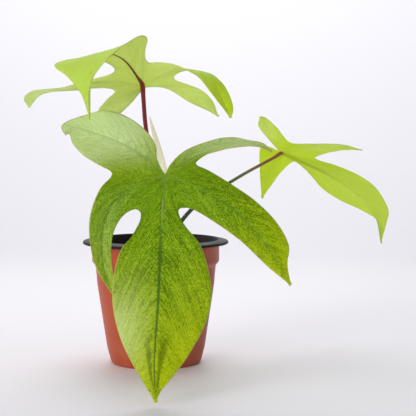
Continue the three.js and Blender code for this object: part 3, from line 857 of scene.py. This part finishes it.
def nursery_pot(settings, materials):
    """The pot's shell turned from its profile, with drain holes cut through the raised
    channel of the floor."""
    profile, lip_at = pot_profile(settings.lip_width / MM, settings.wall / MM)
    points, quads, poles = turned(profile, POT_AROUND)
    a = np.arctan2(points[:, 1], points[:, 0])
    z = points[:, 2]
    lift = z / z.max()
    sway = 1 + 0.0025 * lift * np.sin(2 * a + 0.6) + 0.001 * lift * np.sin(5 * a + 9 * lift)
    points[:, :2] *= np.minimum(sway, 1.0)[:, None]
    row = quads[:, 0] // POT_AROUND
    kinds = np.concatenate([(row >= lip_at - 1).astype(int), np.zeros(POT_AROUND, int),
                            np.ones(POT_AROUND, int)])
    piece = new_piece("pot_shell", points * MM, quads.tolist() + poles.tolist(), materials, kinds)
    turn = np.linspace(0, 2 * np.pi, DRAIN_COUNT, endpoint=False) + np.pi / DRAIN_COUNT
    rod, sides, caps = turned([(0, -5), (DRAIN_RADIUS, -5), (DRAIN_RADIUS, 6), (0, 6)], 32)
    cut_points = np.vstack([rod + [DRAIN_RING * np.cos(b), DRAIN_RING * np.sin(b), 0]
                            for b in turn])
    cut_faces = [[c + k * len(rod) for c in face] for k in range(DRAIN_COUNT)
                 for face in sides.tolist() + caps.tolist()]
    cutter = new_piece("drain_cutter", cut_points * MM, cut_faces, [])
    drain = piece.modifiers.new("drains", "BOOLEAN")
    drain.object, drain.solver = cutter, "EXACT"
    graph = bpy.context.evaluated_depsgraph_get()
    cut = bpy.data.meshes.new_from_object(piece.evaluated_get(graph))
    piece.modifiers.clear()
    piece.data = cut
    bpy.data.objects.remove(cutter)
    return piece


def lumps(x, y, seed, waves, low, high):
    """Rough ground: a sum of sines in seeded directions, each height 1 / its own frequency."""
    rng = np.random.default_rng(seed)
    turn = rng.uniform(0, 2 * np.pi, waves)
    rate = np.exp(rng.uniform(math.log(low), math.log(high), waves))
    shift = rng.uniform(0, 2 * np.pi, waves)
    wave = np.sin(np.multiply.outer(x, rate * np.cos(turn))
                  + np.multiply.outer(y, rate * np.sin(turn)) + shift)
    return (wave / rate).sum(axis=-1) * low / math.sqrt(waves)


def bed_level(r):
    """Height of the mix at the distance r from the middle, in millimetres: a low dome,
    level - sink - dome (r / edge)^2."""
    return SOIL_LEVEL / MM - SOIL_SINK - SOIL_DOME * (r / (MIX_HIGH.x / MM)) ** 2


def potting_mix(materials):
    """The mix fills the pot: a turned body whose top is a low dome roughened by lumps."""
    edge, level = MIX_HIGH.x / MM, SOIL_LEVEL / MM
    floor = MIX_LOW.z / MM
    top_r = np.linspace(edge - 0.2, 0, 90)[:, None]
    top = np.hstack([top_r, bed_level(top_r)])
    profile = np.vstack([[(0, floor), (32.5, floor), (35.3, 12), (44, level - 4)], top])
    points, quads, poles = turned(profile, MIX_AROUND)
    r = np.hypot(points[:, 0], points[:, 1])
    bed = (points[:, 2] > level - 3) & (r < edge - 0.3)
    rough = LUMP_HEIGHT * lumps(points[:, 0], points[:, 1], 3, 60, 0.35, 3.2)
    points[:, 2] += np.where(bed, np.minimum(rough, LUMP_LIMIT), 0)
    return new_piece("mix_bed", points * MM, quads.tolist() + poles.tolist(), materials)


def chips(name, count, half_sizes, seed, reach, materials):
    """Loose bits on the mix: a twelve-point ball, its points jittered, stretched to three half
    sizes, turned at random and laid on the bed; all bits are one mesh."""
    rng = np.random.default_rng(seed)
    g = (1 + math.sqrt(5)) / 2
    ball = unit(np.array([(-1, g, 0), (1, g, 0), (-1, -g, 0), (1, -g, 0), (0, -1, g), (0, 1, g),
                          (0, -1, -g), (0, 1, -g), (g, 0, -1), (g, 0, 1), (-g, 0, -1),
                          (-g, 0, 1)], float))
    faces = np.array([(0, 11, 5), (0, 5, 1), (0, 1, 7), (0, 7, 10), (0, 10, 11), (1, 5, 9),
                      (5, 11, 4), (11, 10, 2), (10, 7, 6), (7, 1, 8), (3, 9, 4), (3, 4, 2),
                      (3, 2, 6), (3, 6, 8), (3, 8, 9), (4, 9, 5), (2, 4, 11), (6, 2, 10),
                      (8, 6, 7), (9, 8, 1)])
    scale = np.array(half_sizes) * rng.uniform(0.55, 1.15, (count, 1, 1))
    local = ball * rng.uniform(0.78, 1.12, (count, 12, 1)) * scale
    spin, tilt = rng.uniform(0, 2 * np.pi, count), rng.normal(0, 0.35, count)
    cs, sn = np.cos(spin)[:, None], np.sin(spin)[:, None]
    ct, st = np.cos(tilt)[:, None], np.sin(tilt)[:, None]
    x, y, z = local[..., 0], local[..., 1], local[..., 2]
    x, z = ct * x + st * z, ct * z - st * x
    x, y = cs * x - sn * y, sn * x + cs * y
    r = reach * np.sqrt(rng.uniform(0.03, 1, count))
    a = rng.uniform(0, 2 * np.pi, count)
    up = bed_level(r) - 0.55 * z.min(axis=1) - 0.5
    centre = np.stack([r * np.cos(a), r * np.sin(a), up], axis=1)
    points = np.stack([x, y, z], axis=-1) + centre[:, None]
    steps = (np.arange(count) * 12)[:, None, None]
    return new_piece(name, points.reshape(-1, 3) * MM, (faces + steps).reshape(-1, 3).tolist(),
                     materials, smooth=False)


# ------------------------------------------------------------------ settings
class PhilodendronPotSettings(bpy.types.PropertyGroup):
    """Sizes and colours of the pot"""
    lip_width: FloatProperty(name="Lip width", description="Flat width of the rolled lip",
                             default=7 * MM, unit="LENGTH", subtype="DISTANCE")
    wall: FloatProperty(name="Wall", description="Thickness of the moulded wall",
                        default=0.9 * MM, unit="LENGTH", subtype="DISTANCE")
    outside: FloatVectorProperty(name="Outside", description="Colour of the outer wall",
                                 subtype="COLOR", size=4, default=rgb(168, 66, 26))
    inside: FloatVectorProperty(name="Inside", description="Colour of the lip and inside",
                                subtype="COLOR", size=4, default=rgb(16, 11, 8))


class PhilodendronMixSettings(bpy.types.PropertyGroup):
    """How many loose bits lie on the mix"""
    bark_count: IntProperty(name="Bark chips", description="Chips of bark on the mix",
                            default=420, min=0)
    perlite_count: IntProperty(name="Perlite", description="White perlite grains on the mix",
                               default=110, min=0)


class PhilodendronLeafSettings(bpy.types.PropertyGroup):
    """Thickness, veins and greens of the leaves"""
    thickness: FloatProperty(name="Thickness", description="Thickness of a leaf blade",
                             default=0.55 * MM, unit="LENGTH", subtype="DISTANCE")
    rib: FloatProperty(name="Main vein", description="Size of the main vein at the foot",
                       default=1.1 * MM, unit="LENGTH", subtype="DISTANCE")
    pleat: FloatProperty(name="Pleats", description="Height of the pleats between side veins",
                         default=0.14 * MM, unit="LENGTH", subtype="DISTANCE")
    mature: FloatVectorProperty(name="Mature green", description="Middle green of the old leaf",
                                subtype="COLOR", size=4, default=rgb(122, 166, 4))
    young: FloatVectorProperty(name="Young green", description="Middle green of young leaves",
                               subtype="COLOR", size=4, default=rgb(184, 222, 24))


class PhilodendronStudioSettings(bpy.types.PropertyGroup):
    """Camera and paper of the studio"""
    lens: FloatProperty(name="Lens", description="Focal length in millimetres", default=112.5)
    camera_height: FloatProperty(name="Camera height", description="Height of the camera",
                                 default=0.1845, unit="LENGTH", subtype="DISTANCE")
    look_down: FloatProperty(name="Look down", description="How far the camera looks down",
                             default=math.radians(3.94), unit="ROTATION", subtype="ANGLE")
    paper: FloatVectorProperty(name="Paper", description="Colour of the floor and backdrop",
                               subtype="COLOR", size=4, default=rgb(243, 242, 246))


# ------------------------------------------------------------------ operators
class PHILODENDRON_OT_pot(bpy.types.Operator):
    """Build the two-tone nursery pot"""
    bl_idname = "philodendron.pot"
    bl_label = "Nursery Pot"

    def execute(self, context):
        settings = context.scene.philodendron_pot
        outside = pot_plastic("pot_terracotta", settings.outside, rgb(188, 96, 60),
                              rgb(206, 180, 160), 0.36, 0.4)
        inside = pot_plastic("pot_black", settings.inside, rgb(52, 42, 36),
                             rgb(110, 94, 82), 0.4, 0.22)
        place(nursery_pot(settings, [outside, inside]), "pot", "nursery_pot")
        return {"FINISHED"}


class PHILODENDRON_OT_mix(bpy.types.Operator):
    """Fill the pot with mix, bark and perlite"""
    bl_idname = "philodendron.mix"
    bl_label = "Potting Mix"

    def execute(self, context):
        settings = context.scene.philodendron_mix
        soil = crumb("mix_peat", rgb(26, 17, 11), rgb(74, 52, 36), 420.0, 0.95)
        bark = crumb("mix_bark", rgb(46, 28, 18), rgb(116, 80, 54), 300.0, 0.85)
        grain = crumb("mix_perlite", rgb(190, 186, 176), rgb(238, 236, 230), 900.0, 0.8)
        reach = MIX_HIGH.x / MM - 4
        place(potting_mix([soil]), "mix", "potting_mix")
        place(chips("mix_bark_chips", settings.bark_count, (1.7, 0.9, 0.5), 11, reach, [bark]),
              "mix")
        place(chips("mix_peat_crumbs", 2 * settings.bark_count, (0.8, 0.7, 0.5), 12, reach,
                    [soil]), "mix")
        place(chips("mix_perlite_grains", settings.perlite_count, (0.8, 0.75, 0.6), 13, reach,
                    [grain]), "mix")
        return {"FINISHED"}


class PHILODENDRON_OT_stem(bpy.types.Operator):
    """Build the short ringed stem"""
    bl_idname = "philodendron.stem"
    bl_label = "Stem"

    def execute(self, context):
        stout = STEM_HIGH.x / MM - 0.4

        def radius(t):
            rings = 0.45 * np.exp(-(((t - 0.62) / 0.02) ** 2)) + 0.4 * np.exp(
                -(((t - 0.78) / 0.018) ** 2))
            return stout - 1.1 * np.clip(t - 0.6, 0, 1) + rings - 2.2 * np.clip(
                (t - 0.9) / 0.1, 0, 1) ** 2
        skin = stalk_skin("stem_skin", (rgb(96, 76, 48), rgb(112, 112, 58), rgb(120, 134, 62)),
                          rgb(74, 66, 36), 0.5)
        place(stalk("stem_stub", [(0, 0, -18), (0, 0, -6), (0, 0, 4), (0, 0, 14.8)], radius,
                    [skin]), "stem", "stem")
        return {"FINISHED"}


class PHILODENDRON_OT_stalks(bpy.types.Operator):
    """Build the three petioles"""
    bl_idname = "philodendron.stalks"
    bl_label = "Petioles"

    def execute(self, context):
        green = stalk_skin("petiole_green", (rgb(104, 126, 56), rgb(112, 140, 52),
                                             rgb(134, 158, 66), rgb(150, 172, 84)),
                           rgb(78, 100, 40))
        red = stalk_skin("petiole_red", (rgb(120, 104, 56), rgb(150, 30, 44), rgb(162, 14, 38),
                                         rgb(122, 22, 34), rgb(128, 98, 60)), rgb(84, 8, 24))
        bronze = stalk_skin("petiole_bronze", (rgb(74, 92, 58), rgb(56, 82, 60),
                                               rgb(70, 96, 68), rgb(118, 120, 72),
                                               rgb(150, 90, 44), rgb(124, 96, 50),
                                               rgb(150, 168, 70)), rgb(46, 44, 36))
        for name, route, leaf, lobe, reach, base, end, skin, slot in (
                ("petiole_front_stalk", ROUTE_FRONT, LEAF_FRONT, 2, 0.35, 2.9, 1.9, green,
                 "petiole_green"),
                ("petiole_top_stalk", ROUTE_TOP, LEAF_TOP, 2, 0.55, 2.3, 1.5, red,
                 "petiole_red"),
                ("petiole_right_stalk", ROUTE_RIGHT, LEAF_RIGHT, 1, 0.5, 2.1, 1.25, bronze,
                 "petiole_bronze")):
            below = under_vein(leaf, lobe, reach, 1.05 * end)
            near = 0.25 * np.array(route[-1]) + 0.75 * np.array(below[0])
            whole = [*route, near, *below]
            total, to_blade = (
                resampled(smooth_through(stops, CURVE_SAMPLES), np.ones(1))[1]
                for stops in (whole, [*route, near, below[0]]))
            piece = stalk(name, whole, petiole_radius(base, end, to_blade / total), [skin],
                          channel=0.14)
            place(piece, slot, name.removesuffix("_stalk"))
        return {"FINISHED"}


class PHILODENDRON_OT_sheath(bpy.types.Operator):
    """Build the cream leaf sheath"""
    bl_idname = "philodendron.sheath"
    bl_label = "Leaf Sheath"

    def execute(self, context):
        def radius(t):
            return 3.9 * (0.5 + 0.6 * t) * np.clip(1 - t**3, 0, 1) ** 0.7
        skin = stalk_skin("sheath_skin", (rgb(214, 220, 150), rgb(244, 242, 206),
                                          rgb(255, 253, 240)), rgb(244, 236, 184), 0.45, 0.65)
        place(stalk("sheath_spear", ROUTE_SHEATH, radius, [skin], channel=0.3, flat=0.5),
              "sheath", "leaf_sheath")
        return {"FINISHED"}


class PHILODENDRON_OT_leaves(bpy.types.Operator):
    """Build the three lobed blades"""
    bl_idname = "philodendron.leaves"
    bl_label = "Leaf Blades"

    def execute(self, context):
        settings = context.scene.philodendron_leaf
        shape = (settings.thickness / MM, settings.rib / MM, settings.pleat / MM)
        # Among these colours: a deep green for the painted shade in the main vein and a whitish
        # green for the painted sheen.
        pattern = {"Sweep": 0.6, "Bend": 28.0, "Spacing": 0.0036, "Rib Width": 0.001,
                   "streaks": 1.4, "mottle": 0.75, "speckle": 1.4, "middle": 0.43,
                   "side": 0.26, "rib": 0.3, "bump": 0.3, "rough": 0.42, "gloss": 0.13,
                   "passing": 0.34, "through": rgb(200, 228, 6), "painted_groove_colour": rgb(58, 98, 40),
                   "painted_sheen": rgb(234, 250, 188)}
        under = {**pattern, "streaks": 0.5, "speckle": 0.4, "rough": 0.5}
        fresh = {**pattern, "streaks": 0.8, "mottle": 0.8, "speckle": 0.4, "passing": 0.55,
                 "gloss": 0.3, "bump": 0.15, "rib": 0.25, "through": rgb(236, 248, 80),
                 "painted_sheen": rgb(232, 242, 206)}
        mature = leaf_skin("leaf_mature_upper",
                           (rgb(36, 66, 2), settings.mature, rgb(188, 216, 56)),
                           rgb(206, 216, 14), rgb(128, 160, 80), rgb(204, 194, 112), pattern)
        mature_under = leaf_skin("leaf_mature_under",
                                 (rgb(104, 138, 44), rgb(136, 166, 70), rgb(172, 194, 108)),
                                 rgb(190, 206, 90), rgb(168, 186, 110), rgb(206, 214, 150),
                                 under)
        young = leaf_skin("leaf_young_upper",
                          (rgb(150, 204, 6), settings.young, rgb(228, 246, 120)),
                          rgb(206, 240, 20), rgb(206, 230, 110), rgb(214, 210, 120), fresh)
        young_under = leaf_skin("leaf_young_under",
                                (rgb(176, 198, 104), rgb(228, 239, 184), rgb(250, 253, 232)),
                                rgb(130, 178, 34), rgb(226, 232, 150), rgb(214, 206, 120),
                                {**fresh, "streaks": 1.4, "mottle": 1.3, "rough": 0.5,
                                 "through": rgb(244, 250, 222)})
        red_edge = leaf_edge("leaf_edge_red", rgb(196, 140, 84))
        pale_edge = leaf_edge("leaf_edge_pale", rgb(206, 206, 130))
        for name, leaf, skins, slot in (
                ("blade_front_leaf", LEAF_FRONT, [mature, mature_under, red_edge],
                 "leaf_mature"),
                ("blade_top_leaf", LEAF_TOP, [young, young_under, pale_edge], "leaf_young"),
                ("blade_right_leaf", LEAF_RIGHT, [young, young_under, pale_edge],
                 "leaf_young")):
            place(leaf_blade(name, leaf, *shape, skins), slot, name.removesuffix("_leaf"))
        return {"FINISHED"}


def soft_light(name, spot, aim, size, power, colour):
    """A square area light at a place, turned to face its aim."""
    lamp = bpy.data.lights.new(name, "AREA")
    lamp.size, lamp.energy, lamp.color = size, power, colour
    light = bpy.data.objects.new(name, lamp)
    toward = np.array(aim, float) - np.array(spot, float)
    pitch = math.atan2(math.hypot(toward[0], toward[1]), -toward[2])
    light.location = spot
    light.rotation_euler = (pitch, 0, math.atan2(-toward[0], toward[1]))
    bpy.context.scene.collection.objects.link(light)


class PHILODENDRON_OT_studio(bpy.types.Operator):
    """Set the paper sweep, soft lights and camera"""
    bl_idname = "philodendron.studio"
    bl_label = "Studio"

    def execute(self, context):
        scene = context.scene
        settings = scene.philodendron_studio
        white = studio_white("studio_paper", settings.paper)
        bend = np.linspace(0, np.pi / 2, 60)
        flat_to, radius = 0.9, 1.5
        sweep = np.vstack([[(-3.0, 0.0)],
                           np.stack([flat_to + radius * np.sin(bend),
                                     radius * (1 - np.cos(bend))], axis=1),
                           [(flat_to + radius, 4.0)]])
        x = np.linspace(-4, 4, 9)
        points = np.stack([np.broadcast_to(x, (len(sweep), 9)),
                           np.broadcast_to(sweep[:, :1], (len(sweep), 9)),
                           np.broadcast_to(sweep[:, 1:], (len(sweep), 9))], axis=-1)
        paper = new_piece("studio_sweep", points.reshape(-1, 3),
                          grid_faces(len(sweep), 9).tolist(), [white])

        world = bpy.data.worlds.new("studio_air")
        world.use_nodes = True
        air = world.node_tree.nodes["Background"]
        air.inputs["Color"].default_value = (0.96, 0.965, 1.0, 1.0)
        air.inputs["Strength"].default_value = 0.35
        scene.world = world
        scene.view_settings.view_transform = "Standard"
        soft_light("back_top", (0.05, 0.45, 0.8), (0.08, 0.42, 0), 0.8, 3.7,
                   (1.0, 0.99, 0.97))
        soft_light("fill_low", (-0.9, -1.4, 0.34), (0, 0, 0.24), 0.7, 16.0, (1.0, 0.99, 0.98))
        soft_light("side_left", (-0.9, 0.2, 0.6), (0, 0, 0.16), 0.6, 1.6, (1.0, 0.99, 0.98))
        soft_light("backdrop", (0, 0.9, 2.3), (0, 2.2, 2.2), 1.5, 46.5, (0.98, 0.98, 1.0))

        lens = bpy.data.cameras.new("camera")
        lens.lens, lens.sensor_width = settings.lens, 36.0
        camera = bpy.data.objects.new("camera", lens)
        camera.location = (CAMERA_SIDE, -CAMERA_BACK, settings.camera_height)
        camera.rotation_euler = (math.pi / 2 - settings.look_down, 0, 0)
        scene.collection.objects.link(camera)
        scene.camera = camera
        return {"FINISHED"}


class PHILODENDRON_PT_panel(bpy.types.Panel):
    """Sizes, colours and build steps of the potted philodendron"""
    bl_idname = "PHILODENDRON_PT_panel"
    bl_label = "Potted Philodendron"
    bl_space_type = "VIEW_3D"
    bl_region_type = "UI"
    bl_category = "Philodendron"

    def draw(self, context):
        scene = context.scene
        for group, steps in (
                (scene.philodendron_pot, ("pot",)), (scene.philodendron_mix, ("mix",)),
                (scene.philodendron_leaf, ("stem", "stalks", "sheath", "leaves")),
                (scene.philodendron_studio, ("studio",))):
            box = self.layout.box()
            for key in group.__annotations__:
                box.prop(group, key)
            for step in steps:
                box.operator(f"philodendron.{step}")


GROUPS = {
    "philodendron_pot": PhilodendronPotSettings,
    "philodendron_mix": PhilodendronMixSettings,
    "philodendron_leaf": PhilodendronLeafSettings,
    "philodendron_studio": PhilodendronStudioSettings,
}
OPERATORS = (PHILODENDRON_OT_pot, PHILODENDRON_OT_mix, PHILODENDRON_OT_stem,
             PHILODENDRON_OT_stalks, PHILODENDRON_OT_sheath, PHILODENDRON_OT_leaves,
             PHILODENDRON_OT_studio)


def register():
    """Register the settings, the operators and the panel."""
    for group in GROUPS.values():
        bpy.utils.register_class(group)
    for key, group in GROUPS.items():
        setattr(bpy.types.Scene, key, PointerProperty(type=group))
    for operator in OPERATORS:
        bpy.utils.register_class(operator)
    bpy.utils.register_class(PHILODENDRON_PT_panel)


def unregister():
    """Take them all out again, in reverse order."""
    bpy.utils.unregister_class(PHILODENDRON_PT_panel)
    for operator in reversed(OPERATORS):
        bpy.utils.unregister_class(operator)
    for key, group in GROUPS.items():
        delattr(bpy.types.Scene, key)
        bpy.utils.unregister_class(group)


def main():
    register()
    for step in ("pot", "mix", "stem", "stalks", "sheath", "leaves", "studio"):
        getattr(bpy.ops.philodendron, step)()


if __name__ == "__main__":
    main()
